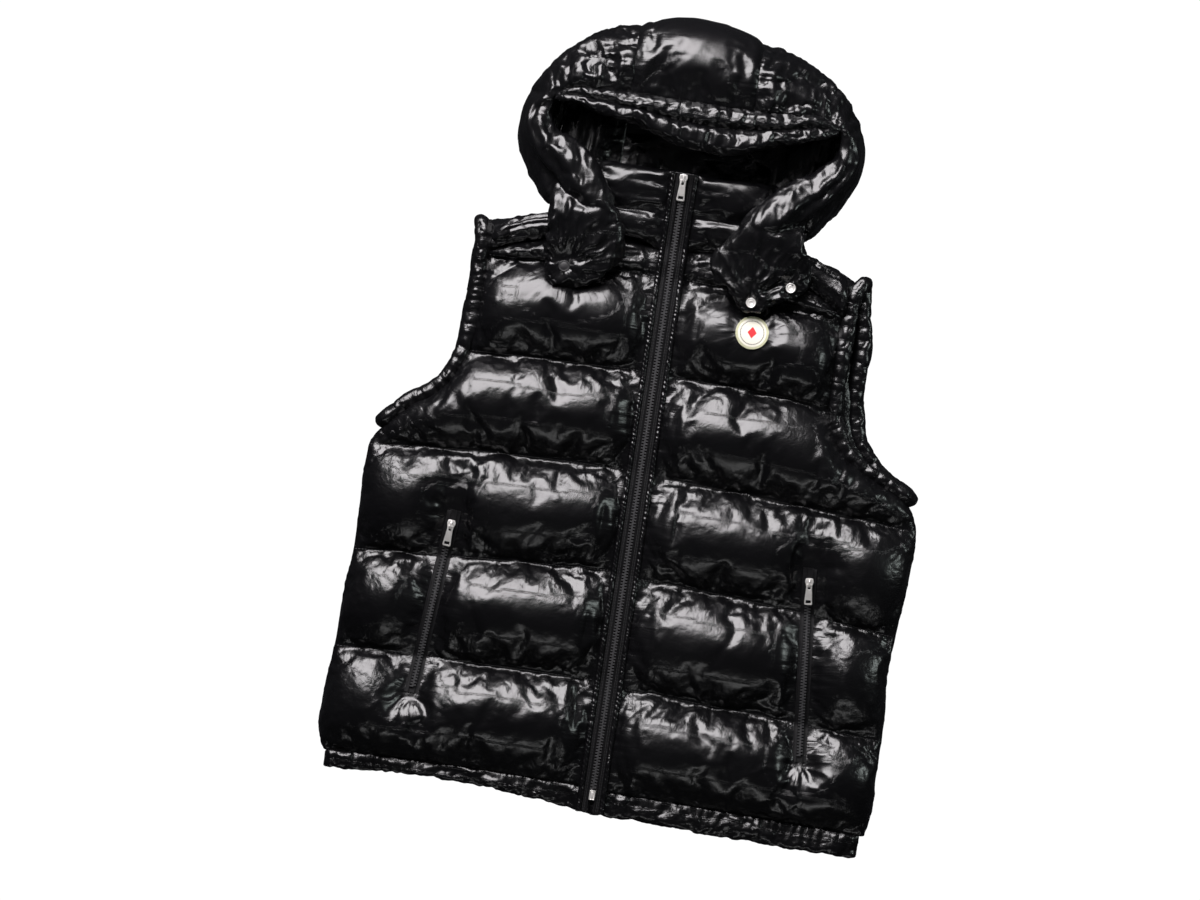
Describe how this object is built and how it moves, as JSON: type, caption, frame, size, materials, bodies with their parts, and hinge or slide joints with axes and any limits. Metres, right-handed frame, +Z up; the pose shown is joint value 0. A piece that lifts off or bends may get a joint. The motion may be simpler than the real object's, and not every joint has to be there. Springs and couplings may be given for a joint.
{
  "type": "puffer vest",
  "caption": "Hooded quilted puffer vest laid flat on its back, front zip closed, slanted zip pockets, collar standing inside an open hood with snap flaps.",
  "frame": {"origin": "middle of the bounding box, on the surface that the vest lies on", "axes": "+X to the wearer's left, +Y from the hem to the hood, +Z up from the table"},
  "size_m": [0.5946, 0.8472, 0.1039],
  "materials": {
    "shell_nylon": "wet-look coated nylon, deep black, very glossy",
    "zip_tape": "woven tape, matt black",
    "zip_teeth": "moulded teeth, satin black",
    "nickel": "pale nickel plate, lightly worn",
    "snap_cap": "black lacquered press stud",
    "badge_felt": "cream felt patch with stitched ring"
  },
  "bodies": {
    "vest": {"front_right": "shell_nylon", "yoke_right": "shell_nylon", "hem_front_right": "shell_nylon", "armhole_right": "shell_nylon", "snap_cap_right": "snap_cap", "hood_side_right": "shell_nylon", "pocket_tape_right": "zip_tape", "pocket_chain_right": "zip_teeth", "slider_pocket_right": "nickel", "front_left": "shell_nylon", "yoke_left": "shell_nylon", "hem_front_left": "shell_nylon", "armhole_left": "shell_nylon", "snap_ring_left_inner": "nickel", "snap_ring_left_outer": "nickel", "hood_side_left": "shell_nylon", "pocket_tape_left": "zip_tape", "pocket_chain_left": "zip_teeth", "slider_pocket_left": "nickel", "badge": "badge_felt", "back": "shell_nylon", "hem_back": "shell_nylon", "collar": "shell_nylon", "hood_centre": "shell_nylon", "hood_band": "shell_nylon", "hood_brim": "shell_nylon", "zip_tape_right": "zip_tape", "zip_tape_left": "zip_tape", "zip_chain": "zip_teeth", "zip_box": "nickel", "slider_front": "nickel"},
    "pull_pocket_right": {"pull_pocket_right": "nickel"},
    "pull_pocket_left": {"pull_pocket_left": "nickel"},
    "pull_front": {"pull_front": "nickel"}
  },
  "joints": [
    {"name": "pocket_right_pull_hinge", "type": "hinge", "parent": "vest", "child": "pull_pocket_right", "pos_m": [-0.18912, -0.13969, 0.05512], "axis": [-0.9963, 0.0855, 0], "range_deg": [0, 150]},
    {"name": "pocket_left_pull_hinge", "type": "hinge", "parent": "vest", "child": "pull_pocket_left", "pos_m": [0.19214, -0.14486, 0.05515], "axis": [-0.9957, -0.0923, 0], "range_deg": [0, 150]},
    {"name": "front_pull_hinge", "type": "hinge", "parent": "vest", "child": "pull_front", "pos_m": [-0.00156, 0.25467, 0.06787], "axis": [-1, 0, 0], "range_deg": [0, 150]}
  ]
}
